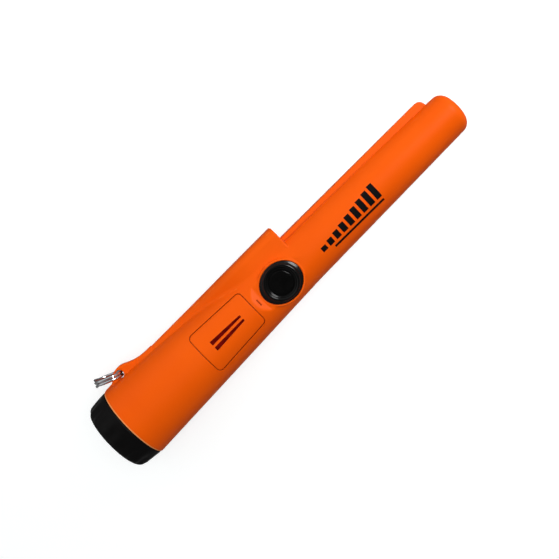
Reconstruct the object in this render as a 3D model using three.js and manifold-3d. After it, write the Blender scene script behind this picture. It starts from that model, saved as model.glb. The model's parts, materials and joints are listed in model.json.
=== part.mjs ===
// A hand-held metal-detecting pinpointer probe, in millimetres.
//
// X runs along the probe, from the end face of the battery cap (x = 0) to the sensing tip.
// +Z is the side with the push button and the speaker panel.
// +Y is the side with the lanyard ear, the lamp hood and the scraper blade.

import * as THREE from "three";
import Module from "manifold-3d";
import { mergeVertices } from "three/addons/utils/BufferGeometryUtils.js";

const wasm = await Module();
wasm.setup();

// ---------------------------------------------------------------- driving dimensions

const totalLength = 228.4;
const gripRadius = 19.8; // where the cap meets the housing
const stepX = 124; // front face of the lamp hood, where the grip ends
const waistRadius = 13.85; // at the step
const tipRadius = 10.9; // where the rounding of the tip starts
const tipFillet = 5;
const wall = 2;
const gap = 0.3; // between pieces that touch each other

const capLength = 12; // the part of the cap that shows
const rimX = capLength + 0.35; // rear edge of the housing
const neckRadius = 16.3;
const neckBore = 15;
const neckEnd = 21.9;
const mouthRadius = 17.2;
const threadPitch = 3;
const threadTurns = 1.5;
const threadStart = 15.6;

const batteryLength = 46.4;
const batteryWidth = 26.2;
const batteryDepth = 17.2;
const batteryCorner = 2.8;
const batteryStart = 8.5;
const terminalHeight = 2.1;
const terminalSpacing = 12.7;

const panelStart = 60.4;
const panelEnd = 92.1;
const panelHalfWidthStart = 10.75;
const panelHalfWidthEnd = 9.3;
const panelLean = 0.018; // sideways shift of the panel and its slots per millimetre along it
const panelCorner = 2;
const panelGroove = 0.35;
const panelThickness = 1;
const speakerX = 76;
const speakerRadius = 9;
const speakerTop = 9.6;

const buttonX = 109.8;
const buttonY = -0.8;
const surroundHalfLength = 11; // along X
const surroundHalfWidth = 9.5; // along Y
const islandTop = 13.4; // flat land round the button
const recessFloor = 11.25;
const buttonRadius = 5.75;
const buttonTravel = 1;

const boardTop = 0.3;
const boardBottom = -1.3;
const lampY = 16.7;
const motorZ = -8;
const motorRadius = 3.5;

const ringHole = new THREE.Vector2(23.9, 20.8); // centre of the hole in the lanyard ear
const ringHoleRadius = 2.1;
const ringMeanRadius = 6.6;
const ringWire = 1.4;
const ringPitch = 1.5;
const ringSlack = 0.85; // from the middle of the hole to the wire that hangs in it
const ringSlope = THREE.MathUtils.degToRad(157.4); // direction from the hole to the ring's centre

const roundSegments = 48; // on the body, the cap and its neck
const smallSegments = 18; // on small round pieces

// ---------------------------------------------------------------- materials

function plastic(color, roughness) {
  return new THREE.MeshStandardMaterial({ color, roughness, metalness: 0 });
}

function metal(color, roughness) {
  return new THREE.MeshStandardMaterial({ color, roughness, metalness: 1 });
}

const orangePlastic = plastic("#f26108", 0.45);
const blackPlastic = plastic("#141315", 0.5);
const blackRubber = plastic("#171617", 0.7);
const redCloth = plastic("#4d0d06", 0.9);
const greyPlastic = plastic("#3b3d40", 0.6);
const whitePlastic = plastic("#d9d6cf", 0.6);
const clearPlastic = plastic("#dfe8ee", 0.1);
const foam = plastic("#2c2c2e", 0.95);
const circuitBoard = plastic("#1d5b33", 0.5);
const chipPlastic = plastic("#17181a", 0.5);
const redWire = plastic("#b01818", 0.5);
const blackWire = plastic("#151515", 0.5);
const ferrite = plastic("#2d2b2b", 0.7);
const steel = metal("#c9cbce", 0.25);
const nickel = metal("#b9b7b0", 0.3);
const copper = metal("#b5642e", 0.35);

// ---------------------------------------------------------------- solids

// Joins the shared vertices of a closed geometry and makes a solid that faces outwards.
function toSolid(geometry) {
  const bare = geometry.clone();
  bare.deleteAttribute("normal");
  bare.deleteAttribute("uv");
  const merged = mergeVertices(bare, 1e-4);
  const position = merged.getAttribute("position");
  const index = merged.getIndex().array;
  const triangles = [];
  let volume = 0;
  for (let i = 0; i < index.length; i += 3) {
    const [a, b, c] = [index[i], index[i + 1], index[i + 2]];
    if (a === b || b === c || c === a) {
      continue;
    }
    const [pa, pb, pc] = [a, b, c].map((k) => new THREE.Vector3().fromBufferAttribute(position, k));
    volume += pa.dot(pb.cross(pc));
    triangles.push(a, b, c);
  }
  if (volume < 0) {
    triangles.reverse();
  }
  return new wasm.Manifold(new wasm.Mesh({
    numProp: 3,
    vertProperties: new Float32Array(position.array),
    triVerts: new Uint32Array(triangles),
  }));
}

function toGeometry(solid) {
  const { vertProperties, triVerts } = solid.getMesh();
  const geometry = new THREE.BufferGeometry();
  geometry.setAttribute("position", new THREE.BufferAttribute(vertProperties, 3));
  geometry.setIndex(new THREE.BufferAttribute(triVerts, 1));
  geometry.computeVertexNormals();
  return geometry;
}

// Moves every vertex of a geometry to where the given function puts it.
function reshape(geometry, place) {
  const position = geometry.getAttribute("position");
  for (let i = 0; i < position.count; i += 1) {
    const moved = place(new THREE.Vector3().fromBufferAttribute(position, i));
    position.setXYZ(i, moved.x, moved.y, moved.z);
  }
  return geometry;
}

// Points of an arc in a profile, from one angle to another, in degrees.
function arc(centreAlong, centreRadius, radius, from, to, steps = 5) {
  const points = [];
  for (let i = 0; i <= steps; i += 1) {
    const angle = THREE.MathUtils.degToRad(THREE.MathUtils.lerp(from, to, i / steps));
    points.push([centreAlong + radius * Math.cos(angle), centreRadius + radius * Math.sin(angle)]);
  }
  return points;
}

function lathe(profile, segments) {
  const points = profile.map(([along, radius]) => new THREE.Vector2(radius, along));
  return new THREE.LatheGeometry(points, segments);
}

// A body of revolution about the probe's axis, from [x, radius] points.
function turned(profile, segments = roundSegments) {
  return toSolid(lathe(profile, segments).rotateZ(-Math.PI / 2));
}

// A body of revolution about a line parallel to X.
function turnedAt(y, z, profile, segments = smallSegments) {
  return toSolid(lathe(profile, segments).rotateZ(-Math.PI / 2).translate(0, y, z));
}

// A body of revolution about an upright line, from [z, radius] points.
function upright(x, y, profile, segments = smallSegments) {
  return toSolid(lathe(profile, segments).rotateX(Math.PI / 2).translate(x, y, 0));
}

function rod(from, to, radius) {
  return [[from, 0], [from, radius], [to, radius], [to, 0]];
}

function pipe(from, to, inner, outer) {
  return [[from, inner], [from, outer], [to, outer], [to, inner], [from, inner]];
}

function block(x0, x1, y0, y1, z0, z1) {
  const box = new THREE.BoxGeometry(x1 - x0, y1 - y0, z1 - z0);
  return toSolid(box.translate((x0 + x1) / 2, (y0 + y1) / 2, (z0 + z1) / 2));
}

// A flat outline in X and Y, given height from z0 to z1.
function plate(shape, z0, z1, curveSegments = 6) {
  const geometry = new THREE.ExtrudeGeometry(shape, { depth: z1 - z0, bevelEnabled: false, curveSegments });
  return toSolid(geometry.translate(0, 0, z0));
}

function ellipse(x, y, halfLength, halfWidth) {
  return new THREE.Shape().absellipse(x, y, halfLength, halfWidth, 0, 2 * Math.PI);
}

function polygon(points) {
  return new THREE.Shape(points.map(([x, y]) => new THREE.Vector2(x, y)));
}

// A wire of round section along a smooth curve through the given points.
function wire(points, radius) {
  const path = new THREE.CatmullRomCurve3(points.map((point) => new THREE.Vector3(...point)));
  const section = new THREE.Shape().absarc(0, 0, radius, 0, 2 * Math.PI);
  return toSolid(new THREE.ExtrudeGeometry(section, {
    steps: 3 * (points.length - 1),
    bevelEnabled: false,
    curveSegments: 2,
    extrudePath: path,
  }));
}

// ---------------------------------------------------------------- outer form

function outerRadius(x) {
  if (x < stepX) {
    return THREE.MathUtils.mapLinear(x, capLength, stepX, gripRadius, waistRadius);
  }
  return THREE.MathUtils.mapLinear(x, stepX, totalLength - tipFillet, waistRadius, tipRadius);
}

// The grip and the shaft, a body of revolution, set back from the outer skin by an inset.
function coneBody(inset) {
  const end = totalLength - tipFillet;
  return turned([
    [rimX, 0],
    [rimX, outerRadius(rimX) - 0.5 - inset],
    [rimX + 0.5, outerRadius(rimX) - inset],
    [stepX, waistRadius - inset],
    [end, tipRadius - inset],
    ...arc(end, tipRadius - tipFillet, tipFillet - inset, 90, 0).slice(1),
    [totalLength - inset, 0],
  ]);
}

// A ridge along X with an arched section, whose half width and top follow the given functions of x.
function ridge(x0, x1, steps, halfWidth, top, cornerAcross, cornerUp) {
  const section = new THREE.Shape();
  section.moveTo(-1, 0);
  section.lineTo(-1, 1 - cornerUp);
  section.absellipse(-1 + cornerAcross, 1 - cornerUp, cornerAcross, cornerUp, Math.PI, Math.PI / 2, true);
  section.absellipse(1 - cornerAcross, 1 - cornerUp, cornerAcross, cornerUp, Math.PI / 2, 0, true);
  section.lineTo(1, 0);
  const options = { depth: 1, steps, bevelEnabled: false, curveSegments: 4 };
  const geometry = new THREE.ExtrudeGeometry(section, options);
  return toSolid(reshape(geometry, (point) => {
    const x = THREE.MathUtils.lerp(x0, x1, point.z);
    return new THREE.Vector3(x, top(x) * point.y, halfWidth(x) * point.x);
  }));
}

// The hood is as narrow as the ear at the rear and widens towards the step.
function hoodHalfWidth(x) {
  return 2.5 + 8.4 * THREE.MathUtils.smoothstep(x, 56, 106);
}

function hoodTop(x) {
  return THREE.MathUtils.mapLinear(x, 42, stepX, 19.95, 21.15);
}

function lampHood() {
  return ridge(36, stepX, 16, hoodHalfWidth, hoodTop, 0.45, 0.2);
}

function hoodHollow() {
  const side = 1.6;
  return ridge(66, stepX - wall, 10, (x) => hoodHalfWidth(x) - side, (x) => hoodTop(x) - side, 0.45, 0.2);
}

const bladeEnd = 218.5;
const bladeFoot = 11.4; // height at which the flats beside the blade are cut into the shaft

function bladeHalfWidth(x) {
  return THREE.MathUtils.mapLinear(x, stepX, bladeEnd, 6.1, 2);
}

// The scraper blade runs along the shaft and stands further out of it towards the tip.
function scraperBlade() {
  const corner = 3.2;
  const top = (x) => THREE.MathUtils.mapLinear(x, stepX, bladeEnd, 13.95, 15);
  const outline = new THREE.Shape();
  outline.moveTo(stepX - 1, 0);
  outline.lineTo(bladeEnd, 0);
  outline.absarc(bladeEnd - corner, top(bladeEnd) - corner, corner, 0, Math.PI / 2);
  outline.lineTo(bladeEnd - corner, top(bladeEnd) + 1);
  outline.lineTo(stepX - 1, top(bladeEnd) + 1);
  return ridge(stepX - 1, bladeEnd + 1, 4, bladeHalfWidth, top, 0.4, 0.09).intersect(plate(outline, -8, 8));
}

// The shaft is cut away beside the blade, down to a flat on either side of it.
function bladeFlat(side) {
  const [rear, front] = [stepX, bladeEnd - 6];
  const outline = polygon([
    [rear, bladeHalfWidth(rear)], [front, bladeHalfWidth(front)], [front, waistRadius], [rear, waistRadius],
  ]);
  const prism = new THREE.ExtrudeGeometry(outline, { depth: waistRadius, bevelEnabled: false });
  return toSolid(reshape(prism, (p) => new THREE.Vector3(p.x, bladeFoot + p.z, side * p.y)));
}

function lanyardEar() {
  const outline = new THREE.Shape();
  outline.moveTo(13.5, 16);
  outline.lineTo(13.5, 19.6);
  outline.bezierCurveTo(17.5, 19.8, 19.2, 20.4, 20.3, 22.1);
  outline.bezierCurveTo(21.3, 23.6, 24.6, 24.4, 27.3, 23.7);
  outline.bezierCurveTo(30.4, 22.9, 32.5, 20, 44, 19.98);
  outline.lineTo(44, 16);
  const halfThickness = 2.5;
  const bevel = 0.7;
  const geometry = new THREE.ExtrudeGeometry(outline, {
    depth: 2 * (halfThickness - bevel),
    bevelSize: bevel,
    bevelOffset: -bevel,
    bevelThickness: bevel,
    bevelSegments: 1,
    curveSegments: 6,
  });
  return toSolid(geometry.translate(0, 0, bevel - halfThickness));
}

// Flat-topped oval island that carries the button.
function buttonIsland(bottom) {
  const oval = ellipse(buttonX, buttonY, surroundHalfLength + 1, surroundHalfWidth + 1);
  return plate(oval, bottom, islandTop, 16);
}

// The room above the island, which levels the crown of the grip, with a ramp up to it at either end.
function islandClearing() {
  const rear = buttonX - surroundHalfLength - 0.9;
  const front = buttonX + surroundHalfLength + 0.9;
  const side = polygon([
    [rear - 8, islandTop + 4], [rear, islandTop], [front, islandTop], [front + 8, islandTop + 0.84],
    [front + 8, gripRadius], [rear - 8, gripRadius],
  ]);
  const prism = new THREE.ExtrudeGeometry(side, { depth: 24, bevelEnabled: false });
  return toSolid(reshape(prism, (p) => new THREE.Vector3(p.x, 12 - p.z, p.y)));
}

// A short drain slot in the rear ramp.
function drainSlot() {
  return block(95.5, 96.2, buttonY - 1.2, buttonY + 2.4, islandTop, islandTop + 3);
}

// ---------------------------------------------------------------- screw thread of the cap

// A helical ridge between two radii; with the radii swapped it stands inwards.
function threadRidge(rootRadius, crestRadius, phase) {
  const section = polygon([[-0.75, rootRadius], [0.75, rootRadius], [0.4, crestRadius], [-0.4, crestRadius]]);
  const steps = Math.round(threadTurns * 28);
  const geometry = new THREE.ExtrudeGeometry(section, { depth: 1, steps, bevelEnabled: false });
  return toSolid(reshape(geometry, (point) => {
    const turn = threadTurns * point.z;
    const angle = phase + 2 * Math.PI * turn;
    const x = threadStart + threadPitch * turn + point.x;
    return new THREE.Vector3(x, point.y * Math.cos(angle), point.y * Math.sin(angle));
  }));
}

// ---------------------------------------------------------------- housing

function housingCavity() {
  const tipInside = totalLength - 2.2;
  return turned([
    [rimX - 1, 0],
    [rimX - 1, mouthRadius],
    [neckEnd + 0.7, mouthRadius],
    [neckEnd + 0.7, neckBore + 0.2],
    [57.5, neckBore + 0.2],
    [60, outerRadius(60) - wall],
    [stepX, waistRadius - wall],
    [totalLength - tipFillet, tipRadius - wall - 0.2],
    [tipInside, 5.5],
    [tipInside, 0],
  ]);
}

// Leans an outline on the speaker panel sideways, towards +Y at the end near the button.
function leaning(points) {
  return points.map(([x, y]) => new THREE.Vector2(x, y + panelLean * (x - panelStart)));
}

function panelOutline(grow) {
  const [x0, x1] = [panelStart - grow, panelEnd + grow];
  const [w0, w1] = [panelHalfWidthStart + grow, panelHalfWidthEnd + grow];
  const r = Math.max(panelCorner + grow, 0.5);
  const [start, ...places] = leaning([
    [x0, 0],
    [x0, -w0 + r], [x0, -w0], [x0 + r, -w0],
    [x1 - r, -w1], [x1, -w1], [x1, -w1 + r],
    [x1, w1 - r], [x1, w1], [x1 - r, w1],
    [x0 + r, w0], [x0, w0], [x0, w0 - r],
  ]);
  const shape = new THREE.Shape().moveTo(start.x, start.y);
  for (let i = 0; i < places.length; i += 3) {
    const [before, corner, after] = places.slice(i, i + 3);
    shape.lineTo(before.x, before.y);
    shape.quadraticCurveTo(corner.x, corner.y, after.x, after.y);
  }
  return shape;
}

function mainHousing() {
  const ringBore = plate(ellipse(ringHole.x, ringHole.y, ringHoleRadius, ringHoleRadius), -4.2, 4.2, 10);
  const lampHole = turnedAt(lampY, 0, rod(stepX - 5, stepX + 2, 2.6));
  const recess = plate(
    ellipse(buttonX, buttonY, surroundHalfLength + gap, surroundHalfWidth + gap),
    recessFloor,
    gripRadius,
    16,
  );
  const plungerHole = upright(buttonX, buttonY, rod(5, recessFloor + 1, 5));
  const panelRecess = plate(panelOutline(panelGroove), 5, gripRadius, 3)
    .subtract(coneBody(panelThickness + gap));
  const panelWindow = plate(panelOutline(-2), 5, gripRadius, 3);
  return coneBody(0)
    .subtract(bladeFlat(1))
    .subtract(bladeFlat(-1))
    .add(lampHood())
    .add(scraperBlade())
    .add(lanyardEar())
    .subtract(housingCavity())
    .subtract(hoodHollow())
    .add(buttonIsland(9.4))
    .subtract(islandClearing())
    .subtract(drainSlot())
    .subtract(recess)
    .subtract(plungerHole)
    .subtract(panelRecess)
    .subtract(panelWindow)
    .subtract(lampHole)
    .subtract(ringBore)
    .add(threadRidge(mouthRadius + 0.4, neckRadius + 0.25, Math.PI));
}

// ---------------------------------------------------------------- battery cap

const fluteCount = 16; // a third of the segments of the cap, so that each flute gets its own
const fluteDepth = 0.55;

function batteryCap() {
  const edge = 3.6;
  const rearRadius = 18.8;
  const profile = [
    [0, 0],
    ...arc(edge, rearRadius - edge, edge, 180, 90, 4),
    [6.5, 19.1],
    [11.4, 19.35],
    [capLength, 19],
    [capLength, neckRadius],
    [13.05, neckRadius],
    [13.05, 15.85],
    [14.45, 15.85],
    [14.45, neckRadius],
    [neckEnd - 0.3, neckRadius],
    [neckEnd, neckRadius - 0.3],
    [neckEnd, neckBore],
    [5.2, neckBore],
    [5.2, 0],
  ];
  const geometry = lathe(profile, roundSegments).rotateZ(-Math.PI / 2);
  reshape(geometry, (point) => {
    const radius = Math.hypot(point.y, point.z);
    if (radius < neckRadius + 0.4 || point.x >= capLength - 0.1) {
      return point;
    }
    const angle = Math.atan2(point.z, point.y);
    const fade = 1 - THREE.MathUtils.smoothstep(point.x, 5, capLength - 0.7);
    const depth = fluteDepth * fade * (0.5 - 0.5 * Math.cos(fluteCount * angle));
    const factor = (radius - depth) / radius;
    return new THREE.Vector3(point.x, point.y * factor, point.z * factor);
  });
  const pockets = turned(rod(-1, 3, 12.5), 32).subtract(block(-2, 4, -13, 13, -2.6, 2.6));
  return toSolid(geometry)
    .add(threadRidge(neckRadius - 0.3, neckRadius + 0.65, 0))
    .subtract(pockets);
}

function capORing() {
  return turned(arc(13.75, 16.5, 0.55, 0, 360, 6), 36);
}

function batteryPad() {
  return turned(rod(5.2 + gap, batteryStart - gap, 11.5), 24);
}

// ---------------------------------------------------------------- battery and its contacts

function batteryCase() {
  const [w, d, r] = [batteryWidth / 2, batteryDepth / 2, batteryCorner];
  const shape = new THREE.Shape();
  shape.absarc(w - r, d - r, r, 0, Math.PI / 2);
  shape.absarc(-w + r, d - r, r, Math.PI / 2, Math.PI);
  shape.absarc(-w + r, -d + r, r, Math.PI, 1.5 * Math.PI);
  shape.absarc(w - r, -d + r, r, 1.5 * Math.PI, 2 * Math.PI);
  const options = { depth: batteryLength, bevelEnabled: false, curveSegments: 4 };
  const geometry = new THREE.ExtrudeGeometry(shape, options);
  return toSolid(reshape(geometry, (p) => new THREE.Vector3(batteryStart + p.z, p.x, p.y)));
}

const batteryFront = batteryStart + batteryLength;

function batteryTerminal(side, radius) {
  const profile = rod(batteryFront + gap, batteryFront + terminalHeight, radius);
  return turnedAt(side * terminalSpacing / 2, 0, profile);
}

const contactBoardX = 59.2;

function contactBoard() {
  const disc = turned(rod(contactBoardX, contactBoardX + 1.6, 14.2), 24);
  return disc.subtract(block(58, 62, -2, 2, 10, 16));
}

// A leaf folded back on itself, which presses on one battery terminal.
function contactSpring(side) {
  const foot = contactBoardX - gap;
  const tip = batteryFront + terminalHeight + gap;
  const profile = polygon([
    [foot, -4], [foot, 4.2], [foot - 0.5, 4.6], [tip, -0.4], [tip, -1.6],
    [tip + 0.35, -1.6], [tip + 0.35, -0.4], [foot - 0.4, 3.5], [foot - 0.35, -4],
  ]);
  const geometry = new THREE.ExtrudeGeometry(profile, { depth: 4.4, bevelEnabled: false });
  const y = side * terminalSpacing / 2 - 2.2;
  return toSolid(reshape(geometry, (p) => new THREE.Vector3(p.x, y + p.z, p.y)));
}

// ---------------------------------------------------------------- chassis and circuit board

const screwPlaces = [[93.4, 7], [93.4, -7], [151, 0]];
const bulkheadRear = 62.2;
const bulkheadFront = 158.2;

function chassis() {
  const floor = polygon([
    [bulkheadRear + 0.5, -11.5], [122, -9.5], [bulkheadFront + 0.5, -8.5],
    [bulkheadFront + 0.5, 8.5], [122, 9.5], [bulkheadRear + 0.5, 11.5],
  ]);
  let body = plate(floor, -3.2, boardBottom - gap)
    .add(turned(rod(bulkheadRear, bulkheadRear + 1.6, 13.9), 24))
    .add(turned(rod(bulkheadFront, bulkheadFront + 1.8, 9.6), 24))
    .subtract(block(74, 81, -3.5, 3.5, -4, 0));
  for (const [x, y] of screwPlaces) {
    body = body.add(upright(x, y, rod(-5.5, -2, 2.4), 12)).subtract(upright(x, y, rod(-6, 0, 1.25), 8));
  }
  for (const side of [-1, 1]) {
    body = body
      .subtract(turnedAt(side * 9, 4, rod(61, 65, 1.2), 10))
      .subtract(turnedAt(side * 5, 6.5, rod(157, 162, 1.1), 10));
  }
  return body;
}

function mainCircuitBoard() {
  const outline = polygon([[66, -10.5], [122, -8.6], [156.5, -7.6], [156.5, 7.6], [122, 8.6], [66, 10.5]]);
  let board = plate(outline, boardBottom, boardTop);
  for (const [x, y] of screwPlaces) {
    board = board.subtract(upright(x, y, rod(-2, 1, 1.25), 8));
  }
  return board;
}

function boardScrew([x, y]) {
  const seat = boardTop + gap;
  const profile = [
    [-4.8, 0], [-4.4, 0.9], [seat, 0.9], [seat, 1.7], [seat + 0.8, 1.6], [seat + 1.1, 0.9], [seat + 1.1, 0],
  ];
  const top = seat + 1.2;
  return upright(x, y, profile, 8)
    .subtract(block(x - 1, x + 1, y - 0.2, y + 0.2, seat + 0.5, top))
    .subtract(block(x - 0.2, x + 0.2, y - 1, y + 1, seat + 0.5, top));
}

function chip(x, y, length, width, height) {
  const bottom = boardTop + gap;
  return block(x - length / 2, x + length / 2, y - width / 2, y + width / 2, bottom, bottom + height);
}

function crystal() {
  const profile = [[125.5, 0], [125.5, 1.4], [130.8, 1.4], [131.2, 1], [131.2, 0]];
  return turnedAt(5.6, boardTop + gap + 1.4, profile, 12);
}

function capacitor([x, y]) {
  const bottom = boardTop + gap;
  const profile = [
    [bottom, 0], [bottom, 2.4], [bottom + 0.7, 2.2], [bottom + 1.1, 2.4],
    [bottom + 6, 2.4], [bottom + 6.3, 2.1], [bottom + 6.3, 0],
  ];
  return upright(x, y, profile, 10);
}

// ---------------------------------------------------------------- push button and switch

// Squeezes a round form about the button's axis into the oval that the housing leaves for it.
function ovalise(geometry) {
  const squeeze = 1 - surroundHalfWidth / surroundHalfLength;
  return reshape(geometry, (point) => {
    const radius = Math.hypot(point.x, point.y);
    const blend = Math.max(0, (radius - 7.2) / (surroundHalfLength - 7.2));
    return new THREE.Vector3(buttonX + point.x, buttonY + point.y * (1 - squeeze * blend), point.z);
  });
}

function buttonSurround() {
  const profile = [
    [recessFloor + 1, 7.2],
    [recessFloor + 1, surroundHalfLength],
    [islandTop + 0.05, surroundHalfLength],
    [islandTop + 0.35, 10.4],
    ...arc(islandTop + 0.45, 8.3, 1.1, 60, -60, 3),
    [islandTop + 0.15, 6.1],
    [islandTop - 0.15, 6.1],
    [islandTop - 0.15, 7.2],
    [recessFloor + 1, 7.2],
  ];
  return toSolid(ovalise(lathe(profile, 32).rotateX(Math.PI / 2)));
}

function buttonGasket() {
  const profile = pipe(recessFloor + gap, recessFloor + 1 - gap, 7.5, surroundHalfLength - 0.3);
  return toSolid(ovalise(lathe(profile, 32).rotateX(Math.PI / 2)));
}

function powerButton() {
  const [bottom, flange] = [islandTop - 1.05, islandTop - 0.45];
  return upright(buttonX, buttonY, [
    [bottom, 0],
    [bottom, 6.8],
    [flange, 6.8],
    [flange, buttonRadius],
    [islandTop + 0.35, buttonRadius],
    [islandTop + 0.65, buttonRadius - 0.5],
    [islandTop + 0.55, 4],
    [islandTop + 0.35, 2],
    [islandTop + 0.3, 0],
  ], 32);
}

function buttonPlunger() {
  const top = islandTop - 1.35;
  const profile = [[5.7, 0], [5.7, 2.6], [top - 0.6, 2.6], [top - 0.6, 4.2], [top, 4.2], [top, 0]];
  return upright(buttonX, buttonY, profile);
}

function switchBody() {
  const half = 3.1;
  const body = block(buttonX - half, buttonX + half, buttonY - half, buttonY + half, boardTop + gap, 4.2);
  return body.subtract(upright(buttonX, buttonY, rod(1.5, 5, 2.1), 16));
}

function switchStem() {
  return upright(buttonX, buttonY, rod(1.6 + buttonTravel + 0.2, 5.4, 1.75), 16);
}

// ---------------------------------------------------------------- speaker

function speakerCover() {
  const slot = (side) => new THREE.Shape(leaning([
    [66.6, side * 0.6], [85.4, side * 0.6], [85.4, side * 1.77], [66.6, side * 2.75],
  ]));
  return plate(panelOutline(0), 5, gripRadius, 3)
    .intersect(coneBody(0))
    .subtract(coneBody(panelThickness))
    .subtract(plate(slot(1), 5, gripRadius))
    .subtract(plate(slot(-1), 5, gripRadius));
}

// A sheet of waterproof cloth right under the slots of the cover.
function speakerMembrane() {
  const [x0, x1, halfWidth, corner] = [speakerX - 11, speakerX + 11, 6.6, 2];
  const sheet = new THREE.Shape();
  sheet.absarc(x1 - corner, halfWidth - corner, corner, 0, Math.PI / 2);
  sheet.absarc(x0 + corner, halfWidth - corner, corner, Math.PI / 2, Math.PI);
  sheet.absarc(x0 + corner, corner - halfWidth, corner, Math.PI, 1.5 * Math.PI);
  sheet.absarc(x1 - corner, corner - halfWidth, corner, 1.5 * Math.PI, 2 * Math.PI);
  return plate(sheet, 10.85, 11.15);
}

function speakerGasket() {
  return upright(speakerX, 0, pipe(speakerTop + gap, 10.55, 7.4, 8.7));
}

function speakerFrame() {
  return upright(speakerX, 0, [
    [4.6, 5.2], [4.6, speakerRadius - 1], [6.4, speakerRadius], [speakerTop, speakerRadius],
    [speakerTop, 8], [8.2, 8], [8.2, 7.2], [6, 5.2], [4.6, 5.2],
  ]);
}

// A thin dome with its voice coil ring, free to move up and down in the frame.
function speakerDiaphragm() {
  return upright(speakerX, 0, [
    [7.2, 2.6], [8.9, 2.6], [8.9, 7.6], [9.15, 7.6], [9.15, 4], [9.3, 2], [9.35, 0],
    [9.1, 0], [9.05, 2], [7.2, 2.2], [7.2, 2.6],
  ]);
}

function speakerMagnet() {
  return upright(speakerX, 0, [
    [2.1, 0], [2.1, 4.8], [6.4, 4.8], [6.4, 3.1], [5.4, 3.1], [5.4, 1.7], [8, 1.7], [8, 0],
  ]);
}

// ---------------------------------------------------------------- lamp

function lampLens() {
  return turnedAt(lampY, 0, [[121.4, 0], [121.4, 2.3], [123.8, 2.3], [124.3, 1.7], [124.4, 0]]);
}

function lamp() {
  const profile = [[114.4, 0], [114.4, 1.9], [115.2, 1.9], [115.2, 1.5], ...arc(119.4, 0, 1.5, 90, 0, 3)];
  return turnedAt(lampY, 0, profile, 12);
}

function lampBoard() {
  return block(112.6, 114.1, lampY - 2.9, lampY + 1.9, -3.2, 3.2);
}

// ---------------------------------------------------------------- vibration motor

function motorCan() {
  const profile = [[83, 0], [83, 3.2], [83.4, motorRadius], [97.6, motorRadius], [98, 3.2], [98, 0]];
  return turnedAt(0, motorZ, profile).subtract(turnedAt(0, motorZ, rod(88.8, 99, 0.85), 12));
}

function motorShaft() {
  return turnedAt(0, motorZ, rod(89.2, 104.4, 0.45), 12);
}

function motorWeight() {
  const sector = new THREE.Shape();
  sector.absarc(0, 0, 3.1, THREE.MathUtils.degToRad(190), THREE.MathUtils.degToRad(350));
  sector.lineTo(1.3, 0);
  sector.absarc(0, 0, 1.3, 0, Math.PI);
  const options = { depth: 4.4, bevelEnabled: false, curveSegments: 8 };
  const geometry = new THREE.ExtrudeGeometry(sector, options);
  const solid = toSolid(reshape(geometry, (p) => new THREE.Vector3(99.3 + p.z, p.x, motorZ + p.y)));
  return solid.subtract(turnedAt(0, motorZ, rod(99, 105, 0.62), 12));
}

function motorBracket() {
  const body = block(86, 95.6, -4.4, 4.4, -11.7, -3.5);
  const opening = block(85, 97, -2, 2, -13, motorZ);
  return body.subtract(turnedAt(0, motorZ, rod(85, 97, motorRadius + 0.35))).subtract(opening);
}

// ---------------------------------------------------------------- search coil

const coilFlanges = [163, 182, 200, 219.8];
const flangeWidth = 1.2;

function coilFormer() {
  const core = 5.2;
  const flange = 7.6;
  const profile = [[160.3, 4.4], [160.3, core]];
  for (const x of coilFlanges) {
    profile.push([x, core], [x, flange], [x + flangeWidth, flange], [x + flangeWidth, core]);
  }
  profile.pop();
  profile.push([coilFlanges[3] + flangeWidth, 4.4], [160.3, 4.4]);
  return turned(profile, smallSegments);
}

function coilWinding(space) {
  const from = coilFlanges[space] + flangeWidth + gap;
  return turned(pipe(from, coilFlanges[space + 1] - gap, 5.6, 7.1), smallSegments);
}

function ferriteCore() {
  return turned(rod(162, 222.4, 4), smallSegments);
}

function tipCushion() {
  const front = totalLength - 2.7;
  const profile = [[front - 2.9, 0], [front - 2.9, 6.6], [front - 1.5, 6.2], [front, 4.6], [front, 0]];
  return turned(profile, smallSegments);
}

function coilLead(side, end) {
  const [y, z] = [side * 5, 6.5];
  const down = 0.9;
  return wire([
    [153, side * 4.6, 1.3], [154.6, side * 4.7, 2.6], [156.6, y, 5.6], [159, y, z], [163, y * 1.02, z * 1.02],
    [(163 + end) / 2, y * 1.02, z * 1.02], [end - 3, y * 1.02, z * 1.02], [end, y * down * 1.07, z * down * 1.07],
  ], 0.4);
}

// ---------------------------------------------------------------- lanyard ring

// Two turns of round wire, wound side by side, that pass through the hole in the ear.
function lanyardRing() {
  const along = new THREE.Vector3(Math.cos(ringSlope), Math.sin(ringSlope), 0);
  const across = new THREE.Vector3(0, 0, 1);
  const normal = new THREE.Vector3().crossVectors(along, across);
  const hole = new THREE.Vector3(ringHole.x, ringHole.y, 0);
  const centre = hole.addScaledVector(along, ringMeanRadius - ringSlack);
  const turns = 2;
  const section = new THREE.Shape().absarc(0, 0, 1, 0, 2 * Math.PI);
  const options = { depth: 1, steps: 44, bevelEnabled: false, curveSegments: 3 };
  const geometry = new THREE.ExtrudeGeometry(section, options);
  return toSolid(reshape(geometry, (point) => {
    const angle = 2 * Math.PI * turns * point.z;
    const radius = ringMeanRadius + (ringWire / 2) * point.x;
    const side = ringPitch * turns * (point.z - 0.5) + (ringWire / 2) * point.y;
    return centre.clone()
      .addScaledVector(along, radius * Math.cos(angle))
      .addScaledVector(across, radius * Math.sin(angle))
      .addScaledVector(normal, side);
  }));
}

// ---------------------------------------------------------------- assembly

const probe = new THREE.Group();

function add(name, solid, material) {
  const mesh = new THREE.Mesh(toGeometry(solid), material);
  mesh.name = name;
  probe.add(mesh);
}

add("main_housing", mainHousing(), orangePlastic);
add("battery_cap", batteryCap(), blackPlastic);
add("cap_o_ring", capORing(), blackRubber);
add("battery_pad", batteryPad(), foam);

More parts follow.
